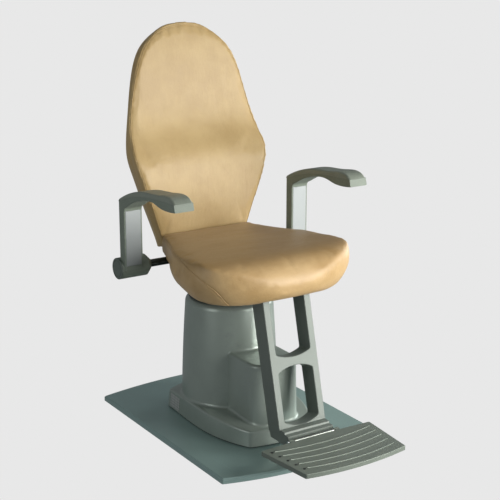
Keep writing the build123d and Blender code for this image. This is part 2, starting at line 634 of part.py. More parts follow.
with BuildPart() as arm_frame:
    extrude(arm_outline(), amount=ARM_OUT - ARM_IN)
    sides = arm_frame.faces().filter_by(Plane.YZ)
    fillet(sides.edges().filter_by(lambda e: 490 < e.center().Z < 712), 3.5)
    with at((BARREL_IN - CHAMFER_IN, BAR_Y, BAR_Z)):
        Cylinder(BARREL_R, BARREL_OUT - BARREL_IN + CHAMFER_IN, **CROSSWISE)
    chamfer(arm_frame.edges().filter_by(GeomType.CIRCLE).sort_by(Axis.X)[0], CHAMFER_IN)
    with at((BARREL_IN - CHAMFER_IN, BAR_Y, BAR_Z)):
        Cylinder(BUSH_R + LOOSE, 120, mode=Mode.SUBTRACT, **CROSSWISE)
    with at(((ARM_IN + ARM_OUT) / 2, ARM_FRONT, FACE_FOOT)):
        Box(ARM_OUT - ARM_IN - 2 * FACE_BORDER, 2 * FACE_DEPTH, FACE_TOP - FACE_FOOT,
            mode=Mode.SUBTRACT, **ON_FOOT)

with BuildPart() as arm_face:
    with at(((ARM_IN + ARM_OUT) / 2, ARM_FRONT + FACE_DEPTH - LOOSE, FACE_FOOT + 0.2)):
        Box(ARM_OUT - ARM_IN - 2 * FACE_BORDER - 0.4, FACE_DEPTH + 0.6, FACE_TOP - FACE_FOOT - 0.4,
            align=(Align.CENTER, Align.MAX, Align.MIN))
    fillet(arm_face.faces().sort_by(Axis.Y)[0].edges(), 0.8)

with BuildPart() as arm_pad:
    extrude(pad_outline(), amount=ARM_OUT - ARM_IN)
    fillet(arm_pad.faces().filter_by(Plane.YZ).edges().filter_by(lambda e: e.center().Z > 733), 6)

with BuildPart() as arm_bush:
    with at((BARREL_IN - CHAMFER_IN + 1, BAR_Y, BAR_Z)):
        Cylinder(BUSH_R, BAR_END - BARREL_IN + CHAMFER_IN - 2, **CROSSWISE)
        Cylinder(BAR_R + FIT, 120, mode=Mode.SUBTRACT, **CROSSWISE)

with BuildPart() as arm_cap:
    with at((BARREL_OUT + LOOSE, BAR_Y, BAR_Z)):
        Cylinder(BARREL_R, 4.5, **CROSSWISE)
    fillet(arm_cap.edges().filter_by(GeomType.CIRCLE).sort_by(Axis.X)[-1], 2)
    with at((BARREL_OUT + 4.6, BAR_Y, BAR_Z)):
        Torus(24, 1.2, rotation=(0, 90, 0), mode=Mode.SUBTRACT)
    with at((BAR_END + 1, BAR_Y, BAR_Z)):
        Cylinder(BUSH_R - 1, BARREL_OUT - BAR_END, **CROSSWISE)

for hand, side in (("left", -1), ("right", 1)):
    for piece, block in (("frame", arm_frame), ("face", arm_face), ("pad", arm_pad),
                         ("bush", arm_bush), ("cap", arm_cap)):
        finish_arm_side(block, f"arm_{piece}_{hand}", side)

# ---------------------------------------------------------------- footrest
LEAN_SIN, LEAN_COS = sin(radians(LEG_LEAN)), cos(radians(LEG_LEAN))
LEG_IN = LEG_OUT - LEG_WALL
LUG_IN, LUG_OUT = 68.0, 82.0


def along_leg(height):
    """Distance along the leaning legs for a height of their front face."""
    return (height - LEG_FACE_Z) / LEAN_COS


with BuildPart() as footrest_frame:
    with BuildSketch(Plane((0, LEG_FACE_Y, LEG_FACE_Z), x_dir=(1, 0, 0), z_dir=(0, -LEAN_COS, LEAN_SIN))):
        with BuildLine():
            Polyline((-LEG_OUT, along_leg(95)), (-LEG_OUT, along_leg(500)), (LEG_OUT, along_leg(500)),
                     (LEG_OUT, along_leg(95)), close=True)
        make_face()
        with BuildLine():
            Polyline((-LEG_IN, along_leg(298)), (-LEG_IN, along_leg(446)), (LEG_IN, along_leg(446)),
                     (LEG_IN, along_leg(298)))
            ThreePointArc((LEG_IN, along_leg(298)), (0, along_leg(286)), (-LEG_IN, along_leg(298)))
        make_face(mode=Mode.SUBTRACT)
        with BuildLine():
            Line((-LEG_IN, along_leg(117)), (-LEG_IN, along_leg(247)))
            ThreePointArc((-LEG_IN, along_leg(247)), (0, along_leg(262)), (LEG_IN, along_leg(247)))
            Line((LEG_IN, along_leg(247)), (LEG_IN, along_leg(117)))
            ThreePointArc((LEG_IN, along_leg(117)), (0, along_leg(102)), (-LEG_IN, along_leg(117)))
        make_face(mode=Mode.SUBTRACT)
    extrude(amount=-LEG_DEPTH)
    inner = footrest_frame.edges().filter_by(
        lambda e: abs(e.length - LEG_DEPTH) < 0.1 and abs(e.center().X) < LEG_OUT - 2)
    fillet(inner, 7)
    chamfer(footrest_frame.faces().sort_by(lambda f: f.normal_at().Y)[0].edges(), 1.5)
    with BuildSketch(Plane.YZ):
        with BuildLine():
            Polyline((-325, 88), (-332, 64), (-408, 64), (-418, 72), (-418, 92), (-416, 94), (-401, 95),
                     (-399, 100), (-377, 101), close=True)
        make_face()
    extrude(amount=LEG_OUT - 3, both=True)
    with at((0, -424, 76)):
        Box(120, 14, 12, **ON_FOOT)
    with at((-70, HINGE_Y, HINGE_Z)):
        Cylinder(HINGE_R + LOOSE, 140, mode=Mode.SUBTRACT, **CROSSWISE)
    with at((0, 0, FRAME_TOP)):
        Box(400, 800, 200, mode=Mode.SUBTRACT, **ON_FOOT)
    with at(*[(x, y, FRAME_TOP - 22) for x, y in FOOT_BOLTS]):
        Cylinder(FOOT_BOLT_R + LOOSE, 30, mode=Mode.SUBTRACT, **ON_FOOT)
save(footrest_frame, "footrest_frame")

with BuildPart() as footrest_bolts:
    with at(*[(x, y, FRAME_TOP - 20) for x, y in FOOT_BOLTS]):
        Cylinder(FOOT_BOLT_R, 28, **ON_FOOT)
    with at(*[(x, y, FRAME_TOP + 8) for x, y in FOOT_BOLTS]):
        Cylinder(7, 4, **ON_FOOT)
save(footrest_bolts, "footrest_bolts")

with BuildPart() as hinge_tube:
    with at((-LUG_IN + 1, HINGE_Y, HINGE_Z)):
        Cylinder(HINGE_R, 2 * LUG_IN - 2, **CROSSWISE)
        Cylinder(HINGE_PIN_R + LOOSE, 2 * LUG_IN - 2, mode=Mode.SUBTRACT, **CROSSWISE)
save(hinge_tube, "hinge_tube")

with BuildPart() as hinge_pins:
    for start, head in ((LUG_IN - 24, LUG_OUT + 0.5), (-LUG_OUT - 3.5, -LUG_OUT - 3.5)):
        with at((start, HINGE_Y, HINGE_Z)):
            Cylinder(HINGE_PIN_R, LUG_OUT - LUG_IN + 27, **CROSSWISE)
        with at((head, HINGE_Y, HINGE_Z)):
            Cylinder(5.5, 3, **CROSSWISE)
save(hinge_pins, "hinge_pins")

PLATE_ENDS_Y, PLATE_TIP_Y, TIP_BOW = -443.5, -623.5, 17.0
RIB_ENDS = [(162 - 4 * n, -468 - 31 * n) for n in range(5)]
RIB_W, RIB_H, RIB_BOW = 5.0, 2.0, 18.0
PLUG_R, PLUG_FOOT = 3.9, FOOTPLATE_TOP - 6

with BuildPart() as footplate:
    with BuildSketch(Plane.XY.offset(FOOTPLATE_TOP - FOOTPLATE_T)) as tread:
        with BuildLine():
            ThreePointArc((182, PLATE_ENDS_Y), (0, HINGE_Y - HINGE_R - 1.5), (-182, PLATE_ENDS_Y))
            Line((-182, PLATE_ENDS_Y), (-163, PLATE_TIP_Y))
            ThreePointArc((-163, PLATE_TIP_Y), (0, PLATE_TIP_Y - TIP_BOW), (163, PLATE_TIP_Y))
            Line((163, PLATE_TIP_Y), (182, PLATE_ENDS_Y))
        make_face()
        fillet(tread.vertices(), 5)
    extrude(amount=FOOTPLATE_T)
    chamfer(footplate.faces().sort_by(Axis.Z)[-1].edges(), 1.5)
    with BuildSketch(Plane.XY.offset(FOOTPLATE_TOP)):
        for x, y in RIB_ENDS:
            with BuildLine() as rib:
                ThreePointArc((-x + 2 * PLUG_R, y), (0, y - RIB_BOW), (x, y))
            trace(rib.line, line_width=RIB_W)
    extrude(amount=RIB_H)
    fillet(footplate.faces().filter_by(Plane.XY).group_by(Axis.Z)[-1].edges(), 0.9)
    for start in (LUG_IN, -LUG_OUT):
        with at((start, HINGE_Y, HINGE_Z)):
            Cylinder(7.5, LUG_OUT - LUG_IN, **CROSSWISE)
        with at((start, HINGE_Y - 14, FOOTPLATE_TOP - FOOTPLATE_T)):
            Box(LUG_OUT - LUG_IN, 14, FOOTPLATE_T, align=(Align.MIN, Align.MIN, Align.MIN))
        with at((start, HINGE_Y, HINGE_Z)):
            Cylinder(HINGE_PIN_R + FIT, LUG_OUT - LUG_IN, mode=Mode.SUBTRACT, **CROSSWISE)
    with at(*[(-x, y, PLUG_FOOT) for x, y in RIB_ENDS]):
        Cylinder(PLUG_R + LOOSE, 20, mode=Mode.SUBTRACT, **ON_FOOT)
save(footplate, "footplate")

with BuildPart() as tread_plugs:
    with at(*[(-x, y, PLUG_FOOT) for x, y in RIB_ENDS]):
        Cylinder(PLUG_R, FOOTPLATE_TOP + 1 - PLUG_FOOT, **ON_FOOT)
    fillet(tread_plugs.faces().filter_by(Plane.XY).group_by(Axis.Z)[-1].edges(), 0.6)
save(tread_plugs, "tread_plugs")
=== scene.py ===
"""Looks of a powered examination chair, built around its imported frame.

The frame holds every hard part. This script upholsters the seat and the back, sews their
seams, gives each part its finish, and sets up a plain studio. All lengths are in metres.
"""

from __future__ import annotations

import json
import logging
import math
from dataclasses import dataclass
from enum import Enum
from typing import Callable, Sequence

import bmesh
import bpy
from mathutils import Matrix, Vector, noise
from mathutils.bvhtree import BVHTree
from mathutils.kdtree import KDTree

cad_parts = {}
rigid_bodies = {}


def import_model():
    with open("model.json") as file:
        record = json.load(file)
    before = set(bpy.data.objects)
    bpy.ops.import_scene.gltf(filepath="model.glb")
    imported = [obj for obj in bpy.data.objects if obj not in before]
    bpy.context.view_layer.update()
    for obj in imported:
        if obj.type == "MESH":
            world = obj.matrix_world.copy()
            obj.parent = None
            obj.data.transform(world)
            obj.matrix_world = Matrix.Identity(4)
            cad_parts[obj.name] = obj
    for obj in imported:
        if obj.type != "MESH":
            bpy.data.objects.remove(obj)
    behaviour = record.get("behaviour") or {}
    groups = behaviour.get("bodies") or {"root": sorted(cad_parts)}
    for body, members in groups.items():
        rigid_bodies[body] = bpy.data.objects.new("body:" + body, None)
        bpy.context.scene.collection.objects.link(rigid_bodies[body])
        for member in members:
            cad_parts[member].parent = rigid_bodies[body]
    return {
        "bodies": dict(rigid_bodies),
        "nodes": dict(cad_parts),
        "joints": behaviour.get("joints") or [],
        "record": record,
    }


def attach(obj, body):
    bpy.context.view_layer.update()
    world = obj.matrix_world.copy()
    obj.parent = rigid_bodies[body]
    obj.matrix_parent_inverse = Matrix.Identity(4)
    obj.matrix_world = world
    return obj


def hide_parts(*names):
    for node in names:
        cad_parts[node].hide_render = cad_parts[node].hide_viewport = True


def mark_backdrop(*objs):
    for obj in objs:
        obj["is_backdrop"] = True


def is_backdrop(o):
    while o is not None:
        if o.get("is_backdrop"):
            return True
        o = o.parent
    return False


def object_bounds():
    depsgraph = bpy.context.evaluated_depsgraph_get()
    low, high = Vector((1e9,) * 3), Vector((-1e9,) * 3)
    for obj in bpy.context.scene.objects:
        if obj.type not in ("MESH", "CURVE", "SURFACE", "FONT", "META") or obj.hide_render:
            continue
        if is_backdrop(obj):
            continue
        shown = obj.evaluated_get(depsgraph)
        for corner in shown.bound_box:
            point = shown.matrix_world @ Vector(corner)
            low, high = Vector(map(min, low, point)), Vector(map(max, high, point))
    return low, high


LOG = logging.getLogger("chair")
MM = 0.001
Colour = tuple[float, float, float]
Point = tuple[float, float, float]


# ------------------------------------------------------------------ shader language
class Value:
    """A shader socket that takes part in Python arithmetic."""

    def __init__(self, recipe: Recipe, socket: bpy.types.NodeSocket) -> None:
        """Keep the socket and the recipe that it belongs to."""
        self.recipe = recipe
        self.socket = socket

    def _maths(self, operation: str, first: Value | float, second: Value | float) -> Value:
        """Add one Math node and return its result."""
        return self.recipe.node("ShaderNodeMath", {"operation": operation}, {0: first, 1: second})

    def __add__(self, other: Value | float) -> Value:
        """Return self + other."""
        return self._maths("ADD", self, other)

    __radd__ = __add__

    def __sub__(self, other: Value | float) -> Value:
        """Return self - other."""
        return self._maths("SUBTRACT", self, other)

    def __rsub__(self, other: float) -> Value:
        """Return other - self."""
        return self._maths("SUBTRACT", other, self)

    def __mul__(self, other: Value | float) -> Value:
        """Return self * other."""
        return self._maths("MULTIPLY", self, other)

    __rmul__ = __mul__

    def eased(self, low: float, high: float) -> Value:
        """Return a smooth step from 0 at low to 1 at high."""
        return self.recipe.node("ShaderNodeMapRange", {"interpolation_type": "SMOOTHSTEP"},
                                {0: self, 1: low, 2: high, 3: 0.0, 4: 1.0})


class Recipe:
    """One material under construction, with a Principled shader at its end."""

    def __init__(self, name: str, **constants: float | Colour) -> None:
        """Start a material.

        Args:
            name: The material's name.
            constants: Principled sockets that are the same all over, in snake case.
        """
        self.material = bpy.data.materials.new(name)
        self.material.use_nodes = True
        self.tree = self.material.node_tree
        self.shader = next(n for n in self.tree.nodes if n.type == "BSDF_PRINCIPLED")
        for key, amount in constants.items():
            socket = self.shader.inputs[key.replace("_", " ").title().replace("Ior", "IOR")]
            socket.default_value = (*amount, 1.0) if isinstance(amount, tuple) else amount
        self.place = self.node("ShaderNodeTexCoord", output="Object")

    def node(self, kind: str, settings: dict | None = None, inputs: dict | None = None,
             output: int | str = 0) -> Value:
        """Add any node.

        Args:
            kind: The node's type.
            settings: Its properties, set first; "stops" holds a ramp's positions and colours.
            inputs: Values or links for its sockets, by name or number.
            output: The socket that is returned.

        Returns:
            The chosen output.
        """
        made = self.tree.nodes.new(kind)
        for key, setting in (settings or {}).items():
            if key == "stops":
                self._set_stops(made.color_ramp, setting)
            else:
                setattr(made, key, setting)
        for key, given in (inputs or {}).items():
            if isinstance(given, Value):
                self.tree.links.new(given.socket, made.inputs[key])
            else:
                made.inputs[key].default_value = given
        return Value(self, made.outputs[output])

    @staticmethod
    def _set_stops(ramp: bpy.types.ColorRamp, stops: Sequence[tuple[float, Colour]]) -> None:
        """Give a colour ramp its stops."""
        while len(ramp.elements) < len(stops):
            ramp.elements.new(0.5)
        for element, (position, colour) in zip(ramp.elements, stops):
            element.position = position
            element.color = (*colour, 1.0)

    def stretched(self, scale: Point) -> Value:
        """Return Object coordinates scaled along each axis."""
        return self.node("ShaderNodeMapping", None, {"Vector": self.place, "Scale": scale})

    def grain(self, size: float, detail: float = 2.0, place: Value | None = None,
              rough: float = 0.5) -> Value:
        """Return soft noise with features of one size, in metres."""
        return self.node("ShaderNodeTexNoise", None,
                         {"Vector": place or self.place, "Scale": 1 / size, "Detail": detail,
                          "Roughness": rough})

    def cells(self, size: float) -> Value:
        """Return the cell pattern of pebbled skin, in metres."""
        return self.node("ShaderNodeTexVoronoi", {"feature": "DISTANCE_TO_EDGE"},
                         {"Vector": self.place, "Scale": 1 / size}, output="Distance")

    def ramp(self, factor: Value, *stops: tuple[float, Colour]) -> Value:
        """Return a colour picked along a ramp."""
        return self.node("ShaderNodeValToRGB", {"stops": stops}, {"Fac": factor})

    def mixed(self, factor: Value | float, first: Value | Colour, second: Value | Colour) -> Value:
        """Return two colours mixed by a factor."""
        def full(colour: Value | Colour) -> Value | tuple:
            return (*colour, 1.0) if isinstance(colour, tuple) else colour
        return self.node("ShaderNodeMix", {"data_type": "RGBA"},
                         {0: factor, 6: full(first), 7: full(second)}, output=2)

    def bump(self, height: Value, depth: float, strength: float = 1.0,
             under: Value | None = None) -> Value:
        """Return a normal raised by a height map whose full range is depth metres."""
        inputs = {"Height": height, "Distance": depth, "Strength": strength}
        if under:
            inputs["Normal"] = under
        return self.node("ShaderNodeBump", None, inputs)

    def feed(self, **links: Value) -> bpy.types.Material:
        """Link values to Principled sockets, in snake case, and return the material."""
        for key, value in links.items():
            self.tree.links.new(value.socket, self.shader.inputs[key.replace("_", " ").title()])
        return self.material


# ------------------------------------------------------------------ finishes
@dataclass(frozen=True)
class Leather:
    """Waxed furniture leather: pebbled grain, pores, soft creases, cloudy dye, and painted shade on
    its top.
    """

    light: Colour
    deep: Colour
    crease: Point = (9.0, 3.0, 3.0)
    roughness: float = 0.42
    # The heights between which the leather is painted darker towards its top: painted shade on the
    # top.
    painted_shade_heights: tuple[float, float] = (2.0, 3.0)
    painted_shade_colour: Colour = (0.25, 0.145, 0.04)

    def material(self, name: str) -> bpy.types.Material:
        """Return the leather as a material."""
        make = Recipe(name, ior=1.48, sheen_weight=0.04, sheen_roughness=0.5)
        clouds = make.grain(0.16, 4.0, rough=0.6)
        streaks = make.grain(1.0, 5.0, make.stretched(self.crease), 0.65)
        pebbles = make.cells(2.6 * MM)
        pores = make.grain(0.9 * MM, 2.0)
        creases = make.grain(1.0, 6.0, make.stretched(tuple(4 * c for c in self.crease)), 0.7)
        tone = (clouds * 0.65 + streaks * 0.35).eased(0.34, 0.64)
        fresh = make.mixed(tone, self.deep, self.light)
        height = make.node("ShaderNodeSeparateXYZ", None, {"Vector": make.place}, output="Z")
        # Painted shade: above these heights the colour is mixed towards a darker tone, and the mix
        # below keeps it.
        surface_colour = make.mixed(height.eased(*self.painted_shade_heights) * 0.85, fresh, self.painted_shade_colour)
        worn = make.mixed((pebbles.eased(0.0, 0.08) * -0.22) + 0.22, surface_colour,
                          tuple(0.55 * c for c in self.deep))
        rough = (clouds * 0.16) + (pores * 0.10) + (self.roughness - 0.13)
        folds = make.bump(creases, 3.2 * MM, 0.45)
        skin = make.bump(pebbles.eased(0.0, 0.16), 0.16 * MM, 0.55, folds)
        fine = make.bump(pores, 0.06 * MM, 0.4, skin)
        return make.feed(base_color=worn, roughness=rough, normal=fine)


@dataclass(frozen=True)
class SatinPaint:
    """Sprayed satin paint with fine metal flake and a trace of orange peel."""

    colour: Colour
    flake: float = 0.25
    metallic: float = 0.35
    roughness: float = 0.36
    peel: float = 0.05 * MM
    scuffs: float = 0.0

    def material(self, name: str) -> bpy.types.Material:
        """Return the paint as a material."""
        make = Recipe(name, metallic=self.metallic, ior=1.5)
        flakes = make.grain(0.7 * MM, 1.0)
        clouds = make.grain(0.09, 3.0)
        marks = make.grain(1.0, 6.0, make.stretched((60.0, 7.0, 30.0)), 0.7).eased(0.60, 0.72)
        tone = (flakes - 0.5) * self.flake + (clouds - 0.5) * 0.25 + 1.0
        bright = make.node("ShaderNodeVectorMath", {"operation": "SCALE"},
                           {0: self.colour, "Scale": tone})
        rubbed = tuple(min(1.0, 1.7 * c) for c in self.colour)
        worn = make.mixed(marks * self.scuffs, bright, rubbed)
        rough = (clouds * 0.14 + flakes * 0.08 + marks * (0.2 * self.scuffs)
                 + (self.roughness - 0.11))
        skin = make.bump(make.grain(2.2 * MM, 2.0), self.peel, 0.5)
        return make.feed(base_color=worn, roughness=rough, normal=skin)


@dataclass(frozen=True)
class Moulding:
    """Moulded plastic or foam skin with a fine leather-like texture."""

    colour: Colour
    grain: float = 1.3 * MM
    depth: float = 0.12 * MM
    roughness: float = 0.5

    def material(self, name: str) -> bpy.types.Material:
        """Return the moulding as a material."""
        make = Recipe(name, ior=1.46)
        pebbles = make.cells(self.grain)
        clouds = make.grain(0.05, 3.0)
        tone = pebbles.eased(0.0, 0.12) * 0.22 + clouds * 0.30 + 0.66
        surface_colour = make.node("ShaderNodeVectorMath", {"operation": "SCALE"},
                        {0: self.colour, "Scale": tone})
        rough = clouds * 0.15 + (self.roughness - 0.07)
        skin = make.bump(pebbles.eased(0.0, 0.2), self.depth, 0.7)
        return make.feed(base_color=surface_colour, roughness=rough, normal=skin)


@dataclass(frozen=True)
class BareMetal:
    """Bare or plated metal with fine tool marks along one axis."""

    colour: Colour
    marks: Point = (40.0, 900.0, 900.0)
    roughness: float = 0.28

    def material(self, name: str) -> bpy.types.Material:
        """Return the metal as a material."""
        make = Recipe(name, metallic=1.0)
        lines = make.grain(1.0, 3.0, make.stretched(self.marks))
        stain = make.grain(0.03, 4.0)
        tone = lines * 0.12 + stain * 0.2 + 0.84
        bright = make.node("ShaderNodeVectorMath", {"operation": "SCALE"},
                           {0: self.colour, "Scale": tone})
        rough = stain * 0.2 + lines * 0.1 + (self.roughness - 0.14)
        grooves = make.bump(lines, 0.02 * MM, 0.4)
        return make.feed(base_color=bright, roughness=rough, normal=grooves)


@dataclass(frozen=True)
class Plywood:
    """Bare plywood: long grain on the faces and thin plies on the edges."""

    light: Colour = (0.60, 0.45, 0.27)
    dark: Colour = (0.36, 0.24, 0.13)

    def material(self, name: str) -> bpy.types.Material:
        """Return the plywood as a material."""
        make = Recipe(name, roughness=0.7)
        figure = make.grain(1.0, 6.0, make.stretched((60.0, 4.0, 500.0)), 0.6)
        wood = make.ramp(figure, (0.35, self.dark), (0.62, self.light))
        return make.feed(base_color=wood, normal=make.bump(figure, 0.2 * MM, 0.4))


@dataclass(frozen=True)
class BlankLabel:
    """A silver rating label with empty ruled fields and no lettering."""

    face: Colour = (0.45, 0.46, 0.44)
    rule: Colour = (0.12, 0.14, 0.13)
    pitch: float = 8 * MM
    column: float = 19 * MM

    def material(self, name: str) -> bpy.types.Material:
        """Return the label as a material."""
        make = Recipe(name, metallic=0.3)
        height = make.node("ShaderNodeSeparateXYZ", None, {"Vector": make.place}, output="Z")
        across = make.node("ShaderNodeSeparateXYZ", None, {"Vector": make.place}, output="Y")
        fold = {"operation": "PINGPONG"}
        rows = make.node("ShaderNodeMath", fold, {0: height, 1: self.pitch / 2})
        bays = make.node("ShaderNodeMath", fold, {0: across, 1: self.column / 2})
        lines = 1 - (rows * (1 / MM)).eased(0.25, 0.55) * (bays * (1 / MM)).eased(0.25, 0.55)
        stain = make.grain(0.01, 3.0)
        face = make.mixed(lines, self.face, self.rule)
        return make.feed(base_color=face, roughness=stain * 0.2 + 0.3)


class Slot(Enum):
    """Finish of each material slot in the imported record."""

    plate_paint = SatinPaint((0.26, 0.37, 0.345), 0.2, 0.25, 0.36, 0.05 * MM, 0.25)
    cover_moulding = SatinPaint((0.30, 0.35, 0.31), 0.25, 0.35, 0.30)
    seal_rubber = Moulding((0.012, 0.016, 0.015), roughness=0.7)
    label = BlankLabel()
    zinc_steel = BareMetal((0.55, 0.56, 0.56))
    black_plastic = Moulding((0.012, 0.016, 0.015), 0.9 * MM, 0.06 * MM)
    machined_steel = BareMetal((0.45, 0.46, 0.47), (60.0, 60.0, 1400.0))
    slide_plastic = Moulding((0.60, 0.58, 0.50), 2 * MM, 0.03 * MM, 0.4)
    cast_aluminium = BareMetal((0.5, 0.51, 0.52), (300.0, 300.0, 300.0), 0.45)
    motor_paint = SatinPaint((0.02, 0.024, 0.024))
    chrome_steel = BareMetal((0.78, 0.79, 0.8), roughness=0.12)
    bronze = BareMetal((0.62, 0.42, 0.2), (60.0, 60.0, 1400.0))
    frame_steel = SatinPaint((0.018, 0.026, 0.023), 0.1, 0.2, 0.42)
    plywood = Plywood()
    # The seat's last pair gives the heights of the painted shade on its top.
    seat_leather = Leather((0.56, 0.385, 0.185), (0.42, 0.27, 0.11), (5.0, 14.0, 9.0), 0.42,
                           (0.535, 0.572))
    back_leather = Leather((0.50, 0.36, 0.165), (0.41, 0.28, 0.115), (10.0, 10.0, 3.5), 0.42)
    dark_steel = SatinPaint((0.014, 0.024, 0.020), 0.1, 0.4, 0.35)
    frame_casting = SatinPaint((0.145, 0.17, 0.148), 0.3, 0.12, 0.48, 0.12 * MM, 0.2)
    bare_aluminium = BareMetal((0.27, 0.29, 0.265), (900.0, 60.0, 900.0), 0.3)
    tread_casting = SatinPaint((0.175, 0.205, 0.172), 0.35, 0.3, 0.46, 0.15 * MM, 0.35)
    arm_moulding = Moulding((0.19, 0.225, 0.18), 1.5 * MM, 0.16 * MM, 0.46)
    arm_face_paint = SatinPaint((0.27, 0.295, 0.295), 0.25, 0.15, 0.42)
    arm_pad_skin = Moulding((0.23, 0.26, 0.21), 1.5 * MM, 0.16 * MM, 0.40)
    barrel_plastic = Moulding((0.11, 0.135, 0.112), 1.1 * MM, 0.06 * MM, 0.38)


# ------------------------------------------------------------------ mesh helpers
def deselect() -> None:
    bpy.ops.object.select_all(action="DESELECT")


def activate(obj: bpy.types.Object) -> None:
    """Make one object the only selected one and the active one."""
    deselect()
    obj.select_set(True)
    bpy.context.view_layer.objects.active = obj


def apply_modifier(obj: bpy.types.Object, kind: str, **settings: object) -> None:
    """Add a modifier, set it and apply it."""
    activate(obj)
    modifier = obj.modifiers.new(kind.title(), kind)
    for key, setting in settings.items():
        setattr(modifier, key, setting)
    bpy.ops.object.modifier_apply(modifier=modifier.name)


def skin_of(obj: bpy.types.Object) -> BVHTree:
    """Return a search tree over an object's faces."""
    return BVHTree.FromObject(obj, bpy.context.evaluated_depsgraph_get())


def rows_smoothed(rows: Sequence[Sequence[float]], per_gap: int = 24) -> list[tuple[float, ...]]:
    """Return a smooth curve through rows of numbers.

    Args:
        rows: The points that the curve passes through.
        per_gap: How many points are made between two rows.

    Returns:
        The curve's points, ends included.
    """
    ends = [rows[0], *rows, rows[-1]]
    curve = []
    for a, b, c, d in zip(ends, ends[1:], ends[2:], ends[3:]):
        for step in range(per_gap):
            t = step / per_gap
            curve.append(tuple(
                0.5 * (2 * q + (r - p) * t + (2 * p - 5 * q + 4 * r - s) * t**2
                       + (3 * q - p - 3 * r + s) * t**3) for p, q, r, s in zip(a, b, c, d)))
    return [*curve, tuple(rows[-1])]


@dataclass(frozen=True)
class Stuffing:
    """How a pad is filled: voxel size, cloth pressure, and the most that it may swell."""

    voxel: float = 5.5 * MM
    shrink: float = 0.5 * MM
    pressure: float = 4.0
    cap: float = 4 * MM
    frames: int = 20
    rest_gap: float = 7 * MM

    def copied(self, node: bpy.types.Object, name: str) -> bpy.types.Object:
        """Return an evenly meshed copy of a frame node, a little smaller all over."""
        pad = bpy.data.objects.new(name, node.data.copy())
        bpy.context.scene.collection.objects.link(pad)
        pad.data.materials.clear()
        shape = bmesh.new()
        shape.from_mesh(pad.data)
        bmesh.ops.remove_doubles(shape, verts=shape.verts, dist=0.01 * MM)
        shape.to_mesh(pad.data)
        shape.free()
        apply_modifier(pad, "REMESH", mode="VOXEL", voxel_size=self.voxel)
        for vertex, normal in zip(pad.data.vertices, [v.normal.copy() for v in pad.data.vertices]):
            vertex.co -= normal * self.shrink
        return pad

    def fill(self, pad: bpy.types.Object, rests_on: Sequence[bpy.types.Object]) -> None:
        """Swell a closed pad by cloth simulation, and apply the result.

        Args:
            pad: The pad.
            rests_on: The pieces that it rests on, beside which it stays where it is.
        """
        start = [v.co.copy() for v in pad.data.vertices]
        skins = [skin_of(piece) for piece in rests_on]
        held = [n for n, point in enumerate(start)
                if any(skin.find_nearest(point, self.rest_gap)[0] for skin in skins)]
        group = pad.vertex_groups.new(name="held")
        group.add(held, 1.0, "REPLACE")
        activate(pad)
        cloth = pad.modifiers.new("Cloth", "CLOTH")
        cloth.settings.use_pressure = True
        cloth.settings.uniform_pressure_force = self.pressure
        cloth.settings.vertex_group_mass = group.name
        cloth.settings.effector_weights.gravity = 0.0
        cloth.collision_settings.use_collision = False
        cloth.point_cache.frame_end = self.frames
        for frame in range(1, self.frames + 1):
            bpy.context.scene.frame_set(frame)
        bpy.ops.object.modifier_apply(modifier=cloth.name)
        bpy.context.scene.frame_set(1)
        for vertex, was in zip(pad.data.vertices, start):
            step = vertex.co - was
            if step.length > self.cap:
                vertex.co = was + step * (self.cap / step.length)
        pad.vertex_groups.clear()
        apply_modifier(pad, "SMOOTH", factor=0.5, iterations=2)


def ease_edges(pad: bpy.types.Object, iterations: int, keep: Callable[[Vector], float]) -> None:
    """Round a pad's edges.

    Args:
        pad: The pad.
        iterations: How far they are rounded.
        keep: The share of the rounding that a point takes, from 0 to 1.
    """
    group = pad.vertex_groups.new(name="eased")
    for vertex in pad.data.vertices:
        group.add([vertex.index], min(1.0, max(0.0, keep(vertex.co))), "REPLACE")
    apply_modifier(pad, "SMOOTH", factor=0.5, iterations=iterations, vertex_group=group.name)
    pad.vertex_groups.clear()


@dataclass(frozen=True)
class Seam:
    """A sewn seam: a thin welt of leather in a shallow groove."""

    welt: float = 1.1 * MM
    groove: float = 1.8 * MM
    reach: float = 7 * MM
    step: float = 4 * MM

    def sew(self, name: str, pad: bpy.types.Object, points: Sequence[Sequence[float]],
            settle: int = 4) -> bpy.types.Object:
        """Press a groove into a pad along a route, and lay a welt in it.

        Args:
            name: The welt's name.
            pad: The pad, finished but for its seams.
            points: The route, near the pad's skin.
            settle: How many times the line is smoothed on the skin.

        Returns:
            The welt.
        """
        surface = skin_of(pad)
        line = [Vector(points[0])]
        for point in map(Vector, rows_smoothed(points)):
            if (point - line[-1]).length >= self.step:
                line.append(point)
        for _ in range(settle):
            line = [surface.find_nearest(p)[0] for p in line]
            line[1:-1] = [(a + b * 2 + c) / 4 for a, b, c in zip(line, line[1:], line[2:])]
        tree = KDTree(len(line))
        for index, point in enumerate(line):
            tree.insert(point, index)
        tree.balance()
        normals = [v.normal.copy() for v in pad.data.vertices]
        for vertex, normal in zip(pad.data.vertices, normals):
            far = tree.find(vertex.co)[2]
            if far < self.reach:
                vertex.co -= normal * self.groove * (1 - far / self.reach) ** 1.5
        pad.data.update()
        curve = bpy.data.curves.new(name, "CURVE")
        curve.dimensions = "3D"
        curve.bevel_depth = self.welt
        curve.bevel_resolution = 1
        curve.use_fill_caps = True
        spline = curve.splines.new("POLY")
        spline.points.add(len(line) - 1)
        for control, point in zip(spline.points, line):
            rest, normal = surface.find_nearest(point)[:2]
            control.co = (*(rest - normal * 0.6 * self.welt), 1.0)
        welt = bpy.data.objects.new(name, curve)
        bpy.context.scene.collection.objects.link(welt)
        activate(welt)
        bpy.ops.object.convert(target="MESH")
        bpy.ops.object.shade_smooth()
        return bpy.context.object


